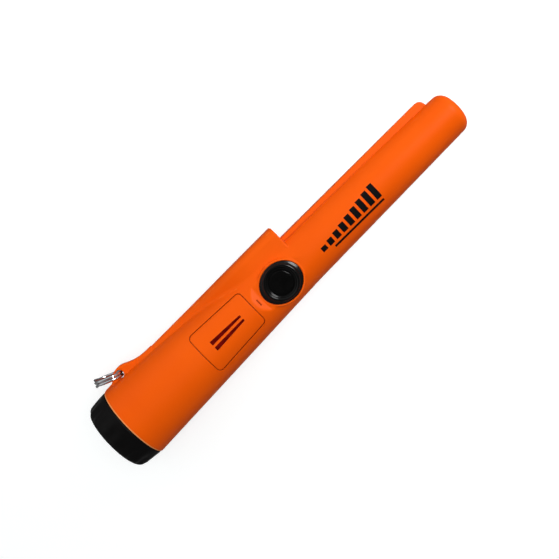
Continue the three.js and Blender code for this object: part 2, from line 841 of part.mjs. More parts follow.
add("battery_case", batteryCase(), greyPlastic);
add("battery_terminal_positive", batteryTerminal(1, 2.9), nickel);
add("battery_terminal_negative", batteryTerminal(-1, 4), nickel);
add("contact_board", contactBoard(), circuitBoard);
add("contact_spring_positive", contactSpring(1), nickel);
add("contact_spring_negative", contactSpring(-1), nickel);
const batteryLead = (side) => wire([
  [61.2, side * 9, 4], [64.6, side * 9, 4], [67.2, side * 8.8, 3], [69.4, side * 8.4, 1.3],
], 0.6);
add("battery_lead_red", batteryLead(1), redWire);
add("battery_lead_black", batteryLead(-1), blackWire);

add("chassis", chassis(), greyPlastic);
add("main_circuit_board", mainCircuitBoard(), circuitBoard);
screwPlaces.forEach((place, i) => add(`board_screw_${i + 1}`, boardScrew(place), steel));
add("processor_chip", chip(136, 0, 9, 9, 1.3), chipPlastic);
add("amplifier_chip", chip(145.5, -3.5, 5, 4, 1.5), chipPlastic);
add("crystal", crystal(), nickel);
[[100, 5.4], [100, -5.4], [119.5, 4.8]].forEach((place, i) => {
  add(`capacitor_${i + 1}`, capacitor(place), blackPlastic);
});

add("button_surround", buttonSurround(), blackRubber);
add("button_gasket", buttonGasket(), blackRubber);
add("power_button", powerButton(), blackRubber);
add("button_plunger", buttonPlunger(), whitePlastic);
add("switch_body", switchBody(), chipPlastic);
add("switch_stem", switchStem(), whitePlastic);

add("speaker_cover", speakerCover(), orangePlastic);
add("speaker_membrane", speakerMembrane(), redCloth);
add("speaker_gasket", speakerGasket(), foam);
add("speaker_frame", speakerFrame(), nickel);
add("speaker_diaphragm", speakerDiaphragm(), clearPlastic);
add("speaker_magnet", speakerMagnet(), steel);
[1, -1].forEach((side, i) => {
  add(`speaker_lead_${i + 1}`, wire([
    [85.6, side * 1.6, 6.6], [87.4, side * 1.8, 5.4], [89, side * 2, 1.2],
  ], 0.4), redWire);
  add(`motor_lead_${i + 1}`, wire([
    [82.6, side * 1.3, motorZ], [79.6, side * 1.4, -7.2], [77.6, side * 1.6, -4.6], [77.2, side * 1.6, -1.8],
  ], 0.4), blackWire);
  add(`lamp_lead_${i + 1}`, wire([
    [112.2, 15.6, side * 1.3], [109.4, 14.6, side * 1.3], [106.4 + side, 10.6, 1.9], [104.6 + side, 6.2, 1.2],
  ], 0.35), redWire);
});

add("lamp_lens", lampLens(), clearPlastic);
add("lamp", lamp(), clearPlastic);
add("lamp_board", lampBoard(), circuitBoard);

add("motor_can", motorCan(), steel);
add("motor_shaft", motorShaft(), steel);
add("motor_weight", motorWeight(), nickel);
add("motor_bracket", motorBracket(), greyPlastic);

add("coil_former", coilFormer(), whitePlastic);
add("ferrite_core", ferriteCore(), ferrite);
add("receive_coil_rear", coilWinding(0), copper);
add("transmit_coil", coilWinding(1), copper);
add("receive_coil_front", coilWinding(2), copper);
add("coil_lead_transmit", coilLead(1, 191), redWire);
add("coil_lead_receive", coilLead(-1, 173), blackWire);
add("tip_cushion", tipCushion(), foam);

add("lanyard_ring", lanyardRing(), steel);

export default probe;
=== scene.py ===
"""Looks of a hand-held pinpointer probe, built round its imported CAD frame.

Lengths in the build functions are millimetres; MM turns them into Blender's metres.
X runs from the battery cap (0) to the sensing tip, +Z is the button side, +Y the hood side.
"""

import json
import math

import bmesh
import bpy
import numpy as np
from mathutils import Matrix, Vector


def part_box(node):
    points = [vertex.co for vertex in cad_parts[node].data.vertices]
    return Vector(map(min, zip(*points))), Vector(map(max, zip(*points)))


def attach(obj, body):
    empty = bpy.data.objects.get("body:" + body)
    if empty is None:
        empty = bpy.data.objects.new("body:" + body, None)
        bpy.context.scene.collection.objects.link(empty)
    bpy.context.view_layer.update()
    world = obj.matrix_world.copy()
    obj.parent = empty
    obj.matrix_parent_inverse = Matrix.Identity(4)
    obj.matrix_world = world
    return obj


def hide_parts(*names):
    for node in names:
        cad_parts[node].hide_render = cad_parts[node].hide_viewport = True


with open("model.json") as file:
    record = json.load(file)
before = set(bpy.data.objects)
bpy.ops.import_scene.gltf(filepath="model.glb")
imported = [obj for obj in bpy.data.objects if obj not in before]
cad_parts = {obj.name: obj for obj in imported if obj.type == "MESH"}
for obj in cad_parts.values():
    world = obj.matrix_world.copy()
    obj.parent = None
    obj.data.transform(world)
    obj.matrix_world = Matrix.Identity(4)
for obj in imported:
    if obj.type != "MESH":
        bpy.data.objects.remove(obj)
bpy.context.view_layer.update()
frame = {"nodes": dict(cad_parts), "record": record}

MM = 0.001

# ---------------------------------------------------------------- sizes of the form, in mm

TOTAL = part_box("main_housing")[1].x / MM
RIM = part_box("main_housing")[0].x / MM
STEP = 124.0
GRIP_RADIUS = 19.8
WAIST_RADIUS = 13.85
TIP_RADIUS = 10.9
TIP_FILLET = 5.0
CAP_LENGTH = 12.0
BUTTON_X, BUTTON_Y = 109.8, -0.8
SURROUND = (11.0, 9.5)  # half length and half width of the button's oval
ISLAND_TOP = 13.4
BLADE_END = 218.5
BLADE_FOOT = 11.4  # height at which the flats beside the blade are cut into the shaft
RIM_LIP = 0.6  # radius of the housing's edge next to the cap
STEP_EDGE = 0.7  # radius of the edge at the hood's front
HOOD_START = 36.0
LARGEST_RADIUS = 28.0  # beyond everything on the housing


# ---------------------------------------------------------------- camera and light

CENTRE_OF_VIEW = Vector((110.2, -0.2, 0.0)) * MM
CAMERA_DISTANCE = 450 * MM
FOCAL_PER_WIDTH = 935 / 559
TURN_IN_PICTURE = math.radians(44.27)
ROLL = math.radians(4.5)


def camera():
    data = bpy.data.cameras.new("camera")
    data.sensor_width = 36
    data.lens = 36 * FOCAL_PER_WIDTH
    data.clip_start = 0.01
    data.clip_end = 20
    cam = bpy.data.objects.new("camera", data)
    bpy.context.scene.collection.objects.link(cam)
    along = Vector((1, 0, 0))
    back = Vector((0, math.sin(ROLL), math.cos(ROLL)))
    across = back.cross(along)
    right = math.cos(TURN_IN_PICTURE) * along - math.sin(TURN_IN_PICTURE) * across
    up = math.sin(TURN_IN_PICTURE) * along + math.cos(TURN_IN_PICTURE) * across
    turn = Matrix((right, up, back)).transposed().to_4x4()
    cam.matrix_world = Matrix.Translation(CENTRE_OF_VIEW + CAMERA_DISTANCE * back) @ turn
    bpy.context.scene.camera = cam


camera()


def area_light(name, place, size, power):
    data = bpy.data.lights.new(name, "AREA")
    data.shape = "DISK"
    data.size = size
    data.energy = power
    light = bpy.data.objects.new(name, data)
    bpy.context.scene.collection.objects.link(light)
    light.location = place
    light.rotation_mode = "QUATERNION"
    light.rotation_quaternion = (CENTRE_OF_VIEW - Vector(place)).to_track_quat("-Z", "Y")
    return light


def studio():
    """Soft light from all round but dark straight above, a key light past the tip and two fills.

    The key light casts no shadow, so that the floor stays even beside the cap.
    """
    world = bpy.data.worlds.new("soft_studio")
    world.use_nodes = True
    nodes, links = world.node_tree.nodes, world.node_tree.links

    def maths(operation, *values):
        made = nodes.new("ShaderNodeMath")
        made.operation = operation
        for socket, value in zip(made.inputs, values):
            if isinstance(value, (int, float)):
                socket.default_value = value
            else:
                links.new(value, socket)
        return made.outputs["Value"]

    direction = nodes.new("ShaderNodeTexCoord").outputs["Generated"]
    split = nodes.new("ShaderNodeSeparateXYZ")
    links.new(direction, split.inputs["Vector"])
    away_from_top = maths("SUBTRACT", 1, maths("POWER", maths("ABSOLUTE", split.outputs["Z"]), 3))
    hood_side = maths("MULTIPLY_ADD", split.outputs["Y"], 0.3, 0.42)
    lighting = maths("MULTIPLY_ADD", away_from_top, hood_side, 0.06)
    seen = nodes.new("ShaderNodeLightPath").outputs["Is Camera Ray"]
    links.new(maths("MAXIMUM", lighting, seen), nodes["Background"].inputs["Strength"])
    nodes["Background"].inputs["Color"].default_value = (1, 1, 1, 1)
    bpy.context.scene.world = world
    turn, height = math.radians(12), math.radians(45)
    level = Vector((math.cos(turn), math.sin(turn), 0))
    towards_key = math.cos(height) * level + Vector((0, 0, math.sin(height)))
    key = area_light("key", CENTRE_OF_VIEW + 0.75 * towards_key, 0.28, 3.7)
    key.data.use_shadow = False
    area_light("fill", CENTRE_OF_VIEW + Vector((0, 0.75, 0.75)), 0.8, 0.5)
    top = area_light("top", CENTRE_OF_VIEW + Vector((0.05, 0, 1.1)), 0.9, 3.0)
    top.visible_glossy = False
    bpy.context.scene.view_settings.view_transform = "Standard"


studio()


# ---------------------------------------------------------------- mesh tools

def new_object(name, vertices, faces):
    """A closed mesh from corners in mm, with its faces turned outwards."""
    mesh = bpy.data.meshes.new(name)
    mesh.from_pydata((np.asarray(vertices, float) * MM).tolist(), [], faces)
    work = bmesh.new()
    work.from_mesh(mesh)
    bmesh.ops.recalc_face_normals(work, faces=work.faces)
    work.to_mesh(mesh)
    work.free()
    obj = bpy.data.objects.new(name, mesh)
    bpy.context.scene.collection.objects.link(obj)
    return obj


def loft(name, rings):
    """Joins closed rings of equal length into one body and closes both ends."""
    rings = np.asarray(rings, float)
    count, around, _ = rings.shape
    faces = []
    for i in range(count - 1):
        a, b = i * around, (i + 1) * around
        for j in range(around):
            k = (j + 1) % around
            faces.append((a + j, b + j, b + k, a + k))
    vertices = rings.reshape(-1, 3).tolist()
    for ring in (0, count - 1):
        vertices.append(rings[ring].mean(0).tolist())
        hub = len(vertices) - 1
        faces += [(ring * around + j, ring * around + (j + 1) % around, hub) for j in range(around)]
    return new_object(name, vertices, faces)


def ring_loft(name, rings):
    """Joins closed rings into one body whose last ring meets its first one."""
    rings = np.asarray(rings, float)
    count, around, _ = rings.shape
    faces = []
    for i in range(count):
        a, b = i * around, ((i + 1) % count) * around
        for j in range(around):
            k = (j + 1) % around
            faces.append((a + j, b + j, b + k, a + k))
    return new_object(name, rings.reshape(-1, 3), faces)


def turned_rings(profile, segments, axis="x", centre=(0, 0, 0)):
    """Rings of a body of revolution from (along, radius) points."""
    angles = np.arange(segments) * 2 * math.pi / segments
    rings = []
    for along, radius in profile:
        u, v = radius * np.cos(angles), radius * np.sin(angles)
        w = np.full(segments, along)
        ring = np.stack((w, u, v) if axis == "x" else (u, v, w), axis=1)
        rings.append(ring + np.array(centre))
    return rings


def arc(along, radius, r, start, end, steps):
    """Points of an arc in a profile, in degrees from the direction of the axis."""
    turns = [math.radians(start + (end - start) * i / steps) for i in range(steps + 1)]
    return [(along + r * math.cos(t), radius + r * math.sin(t)) for t in turns]


def boolean(obj, cutter, operation="DIFFERENCE"):
    """Joins a cutter to a body or takes it away, and deletes the cutter."""
    step = obj.modifiers.new("cut", "BOOLEAN")
    step.operation = operation
    step.solver = "MANIFOLD"
    step.object = cutter
    bpy.context.view_layer.update()
    graph = bpy.context.evaluated_depsgraph_get()
    mesh = bpy.data.meshes.new_from_object(obj.evaluated_get(graph))
    old = obj.data
    obj.modifiers.clear()
    obj.data = mesh
    mesh.name = old.name
    bpy.data.meshes.remove(old)
    bpy.data.objects.remove(cutter)
    return obj


def finish_piece(obj, body, material, slot, *nodes, sharp=35):
    """Smooth shading with sharp edges, a material, a body to ride on and the nodes it stands for."""
    mesh = obj.data
    mesh.materials.clear()
    mesh.materials.append(material)
    for polygon in mesh.polygons:
        polygon.use_smooth = True
        polygon.material_index = 0
    mesh.set_sharp_from_angle(angle=math.radians(sharp))
    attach(obj, body)
    if nodes:
        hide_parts(*nodes)
    return obj


# ---------------------------------------------------------------- form of the housing

def mix(a, b, t):
    return a + (b - a) * t


def smoothstep(x, low, high):
    t = np.clip((x - low) / (high - low), 0, 1)
    return t * t * (3 - 2 * t)


def soft_min(a, b, k):
    h = np.clip(k - np.abs(a - b), 0, None) / k
    return np.minimum(a, b) - h * h * k / 4


def soft_max(a, b, k):
    return -soft_min(-a, -b, k)


def rounded_corner(a, b, r):
    """Where two distances meet at an outer edge, that edge gets a radius."""
    outside = np.hypot(np.maximum(a + r, 0), np.maximum(b + r, 0))
    return np.minimum(np.maximum(a, b), -r) + outside


def cone_radius(x):
    """Outer radius of the grip and the shaft, without the roundings of its two ends."""
    grip = mix(GRIP_RADIUS, WAIST_RADIUS, (x - CAP_LENGTH) / (STEP - CAP_LENGTH))
    shaft = mix(WAIST_RADIUS, TIP_RADIUS, (x - STEP) / (TOTAL - TIP_FILLET - STEP))
    return np.where(x < STEP, grip, shaft)


def rounded_radius(x):
    """Outer radius with the rounded tip and the rounded lip next to the cap."""
    back = np.clip(RIM + RIM_LIP - x, 0, RIM_LIP)
    rim = cone_radius(x) - RIM_LIP + np.sqrt(np.clip(RIM_LIP ** 2 - back ** 2, 0, None))
    over = np.clip(x - (TOTAL - TIP_FILLET), 0, TIP_FILLET)
    tip = TIP_RADIUS - TIP_FILLET + np.sqrt(np.clip(TIP_FILLET ** 2 - over ** 2, 0, None))
    return np.where(x < RIM + RIM_LIP, rim, np.where(x > TOTAL - TIP_FILLET, tip, cone_radius(x)))


def hood_half_width(x):
    return 2.5 + 8.4 * smoothstep(x, 56, 106)


def hood_top(x):
    return mix(19.95, 21.15, (x - 42) / (STEP - 42))


def bezier(p0, p1, p2, p3, count=24):
    t = np.linspace(0, 1, count)[:, None]
    p0, p1, p2, p3 = map(np.array, (p0, p1, p2, p3))
    return (1 - t) ** 3 * p0 + 3 * t * (1 - t) ** 2 * p1 + 3 * t * t * (1 - t) * p2 + t ** 3 * p3


EAR_LINE = np.concatenate((
    bezier((13.5, 19.6), (17.5, 19.8), (19.2, 20.4), (20.3, 22.1)),
    bezier((20.3, 22.1), (21.3, 23.6), (24.6, 24.4), (27.3, 23.7)),
    bezier((27.3, 23.7), (30.4, 22.9), (32.5, 20.0), (44.0, 19.98)),
))


def ear_field(x, y, z):
    top = np.interp(x, EAR_LINE[:, 0], EAR_LINE[:, 1], left=0, right=0)
    ahead = np.interp(x + 0.1, EAR_LINE[:, 0], EAR_LINE[:, 1])
    slope = np.clip((ahead - top) / 0.1, -3, 3)
    return np.maximum(rounded_corner((y - top) / np.hypot(1, slope), np.abs(z) - 2.5, 0.8), -y)


def box_field(across, up, corner):
    """Distance to a rounded corner region; across and up are distances past its flat sides."""
    qa, qu = across + corner, up + corner
    return np.hypot(np.maximum(qa, 0), np.maximum(qu, 0)) + np.minimum(np.maximum(qa, qu), 0) - corner


def hood_field(x, y, z):
    half = hood_half_width(x)
    section = box_field(np.abs(z) - half, y - hood_top(x), np.minimum(0.85 * half, 4.6))
    front = rounded_corner(section, x - STEP, STEP_EDGE)
    return np.maximum(rounded_corner(front, HOOD_START - x, 1.0), -y)


def blade_half_width(x):
    return mix(6.1, 2.0, (x - STEP) / (BLADE_END - STEP))


def blade_field(x, y, z):
    corner = 3.2
    top = mix(13.95, 15.0, (x - STEP) / (BLADE_END - STEP))
    over = np.clip(x - (BLADE_END - corner), 0, corner)
    top = top - corner + np.sqrt(np.clip(corner ** 2 - over ** 2, 0, None))
    top = np.where(x > BLADE_END, 5, top)
    return np.maximum(box_field(np.abs(z) - blade_half_width(x), y - top, 0.7), -y)


def blade_flats(x, y, z):
    """The room beside the blade, where the shaft is cut away down to a flat, deepest at its foot."""
    relief = 0.3 * (1 - smoothstep(y, BLADE_FOOT + 0.15, BLADE_FOOT + 0.8))
    across = blade_half_width(x) - relief - np.abs(z)
    return np.maximum(np.maximum(BLADE_FOOT - y, across), np.maximum(STEP - x, x - BLADE_END + 6))


def oval_field(x, y, half_length, half_width):
    dx, dy = x - BUTTON_X, y - BUTTON_Y
    near = np.hypot(dx / half_length, dy / half_width)
    slope = np.hypot(dx / half_length ** 2, dy / half_width ** 2)
    return near * (near - 1) / np.maximum(slope, 1e-6)


def island_field(x, y, z):
    """The flat-topped oval island that carries the button."""
    oval = oval_field(x, y, SURROUND[0] + 1, SURROUND[1] + 1)
    return np.maximum(rounded_corner(oval, z - ISLAND_TOP, 0.4), 5 - z)


def crown_level(x):
    """Height at which the crown of the grip is levelled for the island, with a ramp at either end."""
    rear = BUTTON_X - SURROUND[0] - 0.9
    front = BUTTON_X + SURROUND[0] + 0.9
    return ISLAND_TOP + np.maximum(0, np.maximum(0.5 * (rear - x), 0.105 * (x - front)))


def housing_field(x, y, z):
    body = np.hypot(y, z) - rounded_radius(x)
    body = soft_max(body, -blade_flats(x, y, z), 0.15)
    body = soft_min(body, hood_field(x, y, z), mix(1.6, 0.6, smoothstep(x, 60, STEP)))
    body = soft_min(body, ear_field(x, y, z), 1.2)
    body = soft_min(body, blade_field(x, y, z), 0.25)
    body = soft_max(body, z - crown_level(x), 0.35)
    return soft_min(body, island_field(x, y, z), 0.6)


def spread(start, end, step):
    """Even places from start to just before end, about a step apart."""
    count = max(1, round((end - start) / step))
    return start + (end - start) * np.arange(count) / count


def housing_stations():
    """Places of the skin's rings, evenly spaced round each rounded edge."""
    lip = RIM + RIM_LIP * (1 - np.cos(np.linspace(0, math.pi / 2, 6)[:-1]))
    step = STEP - STEP_EDGE + STEP_EDGE * np.sin(np.linspace(0, math.pi / 2, 9))
    tip = TOTAL - TIP_FILLET + TIP_FILLET * np.sin(np.linspace(0, math.pi / 2, 20))
    return np.concatenate((
        lip, spread(RIM + RIM_LIP, 46, 0.4), spread(46, 92, 0.8), spread(92, STEP - STEP_EDGE, 0.3),
        step, spread(STEP + 0.15, 130, 0.4), spread(130, 208, 1.5), spread(208, TOTAL - TIP_FILLET, 0.4), tip,
    ))


def housing_angles():
    """Directions round the axis from +Y, closest together across the ear, the hood and the blade."""
    half = np.concatenate((spread(0, 14, 0.28), spread(14, 42, 0.4), spread(42, 180, 1.0), [180]))
    return np.radians(np.concatenate((half, -half[-2:0:-1])))


def housing_skin():
    """The outer skin, found by going out from the axis in every direction."""
    angle = housing_angles()
    xs, cosines = np.meshgrid(housing_stations(), np.cos(angle), indexing="ij")
    sines = np.broadcast_to(np.sin(angle), xs.shape)
    low = 0.5 * rounded_radius(xs)
    high = np.full_like(xs, LARGEST_RADIUS)
    for _ in range(22):
        middle = (low + high) / 2
        inside = housing_field(xs, middle * cosines, middle * sines) < 0
        low = np.where(inside, middle, low)
        high = np.where(inside, high, middle)
    return loft("housing_shell", np.stack((xs, low * cosines, low * sines), axis=2))


# ---------------------------------------------------------------- materials

def linear(red, green, blue):
    """A colour given in the 0 to 255 steps of a display, as linear values."""
    def one(value):
        value /= 255
        return value / 12.92 if value <= 0.04045 else ((value + 0.055) / 1.055) ** 2.4
    return one(red), one(green), one(blue), 1.0


class Shader:
    """A material being wired up: a Principled shader and the nodes that feed it."""

    def __init__(self, name, colour, roughness, metallic=0.0, gloss=0.5):
        self.material = bpy.data.materials.new(name)
        self.material.use_nodes = True
        self.material.diffuse_color = colour
        self.tree = self.material.node_tree
        self.surface = self.tree.nodes["Principled BSDF"]
        self.surface.inputs["Base Color"].default_value = colour
        self.surface.inputs["Roughness"].default_value = roughness
        self.surface.inputs["Metallic"].default_value = metallic
        self.surface.inputs["Specular IOR Level"].default_value = gloss
        self.place = self.node("ShaderNodeTexCoord").outputs["Object"]

    def node(self, kind, **values):
        made = self.tree.nodes.new(kind)
        for key, value in values.items():
            setattr(made, key, value)
        return made

    def link(self, source, target):
        self.tree.links.new(source, target)

    def noise(self, size_mm, detail=3.0, roughness=0.55, stretch=(1, 1, 1)):
        """Noise whose features are about size_mm across."""
        mapping = self.node("ShaderNodeMapping")
        mapping.inputs["Scale"].default_value = stretch
        self.link(self.place, mapping.inputs["Vector"])
        texture = self.node("ShaderNodeTexNoise")
        texture.inputs["Scale"].default_value = 1 / (size_mm * MM)
        texture.inputs["Detail"].default_value = detail
        texture.inputs["Roughness"].default_value = roughness
        self.link(mapping.outputs["Vector"], texture.inputs["Vector"])
        return texture.outputs["Fac"]

    def ranged(self, value, from_low, from_high, to_low, to_high):
        made = self.node("ShaderNodeMapRange")
        names = ("From Min", "From Max", "To Min", "To Max")
        for name, number in zip(names, (from_low, from_high, to_low, to_high)):
            made.inputs[name].default_value = number
        self.link(value, made.inputs["Value"])
        return made.outputs["Result"]

    def mixed(self, factor, first, second):
        made = self.node("ShaderNodeMix", data_type="RGBA")
        self.link(factor, made.inputs["Factor"])
        for socket, colour in (("A", first), ("B", second)):
            target = [i for i in made.inputs if i.name == socket and i.type == "RGBA"][0]
            if isinstance(colour, tuple):
                target.default_value = colour
            else:
                self.link(colour, target)
        return [o for o in made.outputs if o.type == "RGBA"][0]

    def maths(self, operation, first, second):
        made = self.node("ShaderNodeMath", operation=operation)
        for slot, value in enumerate((first, second)):
            if isinstance(value, (int, float)):
                made.inputs[slot].default_value = value
            else:
                self.link(value, made.inputs[slot])
        return made.outputs["Value"]

    def edges(self, low=0.52, high=0.62):
        """One on the object's outer edges, zero elsewhere."""
        return self.ranged(self.node("ShaderNodeNewGeometry").outputs["Pointiness"], low, high, 0, 1)

    def crease_shade_mask(self, reach_mm):
        """Ambient occlusion as a mask for painted shade: one deep in every crease and groove, zero on open
        faces.
        """
        made = self.node("ShaderNodeAmbientOcclusion", samples=6)
        made.inputs["Distance"].default_value = reach_mm * MM
        return self.ranged(made.outputs["AO"], 0.35, 0.9, 1, 0)

    def colour(self, value):
        self.link(value, self.surface.inputs["Base Color"])

    def roughness(self, value):
        self.link(value, self.surface.inputs["Roughness"])

    def bump(self, *layers):
        """Relief from (height, depth in mm) pairs."""
        normal = None
        for height, depth in layers:
            made = self.node("ShaderNodeBump")
            made.inputs["Distance"].default_value = depth * MM
            self.link(height, made.inputs["Height"])
            if normal is not None:
                self.link(normal, made.inputs["Normal"])
            normal = made.outputs["Normal"]
        self.link(normal, self.surface.inputs["Normal"])


def rim_highlight_mask(s):
    """How strongly the painted highlight shows on the housing's outer lip next to the cap; zero elsewhere and
    on its end face.
    """
    split = s.node("ShaderNodeSeparateXYZ")
    s.link(s.place, split.inputs["Vector"])
    y, z = split.outputs["Y"], split.outputs["Z"]
    radius = s.maths("POWER", s.maths("ADD", s.maths("MULTIPLY", y, y), s.maths("MULTIPLY", z, z)), 0.5)
    near_rim = s.ranged(split.outputs["X"], (RIM + 0.5) * MM, (RIM + 0.8) * MM, 0.8, 0)
    outside = s.ranged(radius, (GRIP_RADIUS - 0.7) * MM, (GRIP_RADIUS - 0.55) * MM, 0, 1)
    return s.maths("MULTIPLY", near_rim, outside)


def orange_plastic():
    """Moulded plastic with a fine spark-eroded grain; its colour carries painted shade in every crease and
    groove, a painted highlight on its outer edges and a painted highlight on the lip next to the cap.
    """
    s = Shader("orange_plastic", linear(238, 88, 2), 0.42, gloss=0.1)
    clouds = s.noise(34, 2)
    base = s.mixed(s.ranged(clouds, 0.3, 0.7, 0, 1), linear(236, 87, 1), linear(241, 92, 2))
    # painted highlight: the outer edges are lightened towards pale orange, as if catching the light
    edge_highlight = s.mixed(s.maths("MULTIPLY", s.edges(), 0.35), base, linear(250, 130, 48))
    # painted highlight: a pale line on the housing's outer lip next to the cap
    pale = s.mixed(rim_highlight_mask(s), edge_highlight, linear(255, 176, 108))
    # painted shade: ambient occlusion darkens every crease and groove towards deep brown-orange
    s.colour(s.mixed(s.maths("MULTIPLY", s.crease_shade_mask(1.3), 0.7), pale, linear(120, 34, 4)))
    s.roughness(s.ranged(s.noise(6, 3), 0.3, 0.7, 0.36, 0.48))
    s.bump((s.noise(2.2, 2), 0.010), (s.noise(0.42, 2, 0.6), 0.018))
    return s.material


def black_plastic():
    s = Shader("black_plastic", linear(6, 5, 5), 0.45, gloss=0.12)
    scuffs = s.noise(1.6, 5, 0.7)
    s.colour(s.mixed(s.ranged(scuffs, 0.62, 0.75, 0, 0.4), linear(7, 6, 6), linear(22, 21, 21)))
    s.roughness(s.ranged(s.noise(5, 3), 0.3, 0.7, 0.4, 0.55))
    s.bump((s.noise(0.5, 2, 0.6), 0.02))
    return s.material


def black_rubber():
    s = Shader("black_rubber", linear(4, 4, 4), 0.2, gloss=0.25)
    s.colour(s.mixed(s.ranged(s.noise(3, 4), 0.45, 0.75, 0, 0.5), linear(3, 3, 3), linear(10, 9, 9)))
    s.roughness(s.ranged(s.noise(2.5, 4), 0.3, 0.7, 0.15, 0.22))
    s.bump((s.noise(0.3, 2), 0.004))
    return s.material


def red_cloth():
    """Fine woven cloth, dark red, under the speaker's slots; its dark red is painted shade, standing for the
    deep shade at the bottom of the slots.
    """
    s = Shader("red_cloth", linear(120, 8, 4), 0.9, gloss=0.1)
    weave = s.node("ShaderNodeTexWave", wave_type="BANDS", bands_direction="DIAGONAL")
    weave.inputs["Scale"].default_value = 1 / (0.5 * MM) / 20
    s.link(s.place, weave.inputs["Vector"])
    s.colour(s.mixed(weave.outputs["Fac"], linear(104, 5, 3), linear(132, 10, 5)))
    s.bump((weave.outputs["Fac"], 0.03))
    return s.material


def moulded(name, colour, roughness, grain=0.6, depth=0.01, gloss=0.5):
    """A moulded part with faint clouds of shade, a fine grain and uneven gloss."""
    s = Shader(name, colour, roughness, gloss=gloss)
    darker = tuple(0.82 * c for c in colour[:3]) + (1.0,)
    s.colour(s.mixed(s.ranged(s.noise(8, 3), 0.35, 0.7, 0, 1), colour, darker))
    s.roughness(s.ranged(s.noise(3, 3), 0.3, 0.7, roughness - 0.06, roughness + 0.08))
    s.bump((s.noise(grain, 3), depth))
    return s.material


def foam():
    s = Shader("foam", linear(52, 52, 54), 0.95)
    cells = s.node("ShaderNodeTexVoronoi")
    cells.inputs["Scale"].default_value = 1 / (0.7 * MM)
    s.link(s.place, cells.inputs["Vector"])
    s.colour(s.mixed(cells.outputs["Distance"], linear(30, 30, 32), linear(66, 66, 68)))
    s.bump((cells.outputs["Distance"], 0.2))
    return s.material


def clear_plastic():
    s = Shader("clear_plastic", linear(236, 241, 244), 0.08)
    s.surface.inputs["Transmission Weight"].default_value = 0.95
    s.surface.inputs["IOR"].default_value = 1.49
    s.roughness(s.ranged(s.noise(1.5, 3), 0.3, 0.7, 0.04, 0.14))
    return s.material


def circuit_board():
    s = Shader("circuit_board", linear(24, 92, 48), 0.35)
    tracks = s.node("ShaderNodeTexBrick")
    tracks.inputs["Scale"].default_value = 1 / (6 * MM)
    tracks.inputs["Mortar Size"].default_value = 0.03
    tracks.inputs["Color1"].default_value = linear(22, 84, 44)
    tracks.inputs["Color2"].default_value = linear(28, 100, 52)
    tracks.inputs["Mortar"].default_value = linear(60, 140, 72)
    s.link(s.place, tracks.inputs["Vector"])
    s.colour(tracks.outputs["Color"])
    s.roughness(s.ranged(s.noise(2, 3), 0.3, 0.7, 0.28, 0.45))
    s.bump((tracks.outputs["Fac"], 0.03))
    return s.material


def polished_metal(name, colour, roughness, scratches=0.3):
    """Bright metal with fine scratches and a slightly uneven shine."""
    s = Shader(name, colour, roughness, metallic=1.0)
    lines = s.noise(scratches, 4, 0.7, stretch=(1, 1, 6))
    s.roughness(s.ranged(lines, 0.3, 0.75, max(0.04, roughness - 0.06), roughness + 0.12))
    s.bump((lines, 0.004))
    return s.material


def copper_winding():
    s = Shader("copper", linear(176, 92, 44), 0.3, metallic=1.0)
    turns = s.node("ShaderNodeTexWave", wave_type="BANDS", bands_direction="X")
    turns.inputs["Scale"].default_value = 1 / (0.35 * MM) / 20
    s.link(s.place, turns.inputs["Vector"])
    s.colour(s.mixed(turns.outputs["Fac"], linear(130, 62, 28), linear(196, 108, 56)))
    s.bump((turns.outputs["Fac"], 0.08))
    return s.material


MATERIALS = {
    "orange_plastic": orange_plastic(),
    "black_plastic": black_plastic(),
    "black_rubber": black_rubber(),
    "red_cloth": red_cloth(),
    "ink": moulded("ink", linear(9, 9, 10), 0.6, gloss=0.08),
    "foam": foam(),
    "grey_plastic": moulded("grey_plastic", linear(60, 62, 65), 0.55),
    "white_plastic": moulded("white_plastic", linear(222, 219, 210), 0.5),
    "clear_plastic": clear_plastic(),
    "circuit_board": circuit_board(),
    "chip_plastic": moulded("chip_plastic", linear(26, 27, 29), 0.5, 0.2),
    "red_wire": moulded("red_wire", linear(176, 22, 20), 0.4),
    "black_wire": moulded("black_wire", linear(20, 20, 20), 0.4),
    "ferrite": moulded("ferrite", linear(44, 42, 42), 0.6, 0.3, 0.03),
    "steel": polished_metal("steel", linear(214, 215, 218), 0.08),
    "nickel": polished_metal("nickel", linear(196, 192, 182), 0.24),
    "copper": copper_winding(),
}


def dress_cad_nodes():
    """The pieces inside the housing keep their own shape and get their slot's material."""
    for entry in frame["record"]["subparts"]:
        node = frame["nodes"][entry["node"]]
        node.data.materials.clear()
        node.data.materials.append(MATERIALS[entry["material_slot"]])


dress_cad_nodes()


# ---------------------------------------------------------------- housing

NECK_RADIUS = 16.3
NECK_BORE = 15.0
NECK_END = 21.9
MOUTH_RADIUS = 17.2
THREAD_START = 15.6
THREAD_PITCH = 3.0
THREAD_TURNS = 1.5
WALL = 2.0
EAR_HOLE = (23.9, 20.8)
EAR_HOLE_RADIUS = 2.1
LAMP_Y = 16.7


def thread_ridge(root, crest, phase):
    """A helical ridge with rounded flanks that fades out at both ends."""
    rings = []
    steps = round(THREAD_TURNS * 90)
    for i in range(steps + 1):
        turn = THREAD_TURNS * i / steps
        rise = float(smoothstep(min(turn, THREAD_TURNS - turn), 0, 0.08))
        top = mix(root + 0.02 * (crest - root), crest, rise)
        knee = mix(root, top, 0.8)
        section = ((-0.75, root), (-0.47, knee), (-0.25, top), (0.25, top), (0.47, knee), (0.75, root))
        angle = phase + 2 * math.pi * turn
        x = THREAD_START + THREAD_PITCH * turn
        rings.append([(x + dx, r * math.cos(angle), r * math.sin(angle)) for dx, r in section])
    return loft("thread", rings)


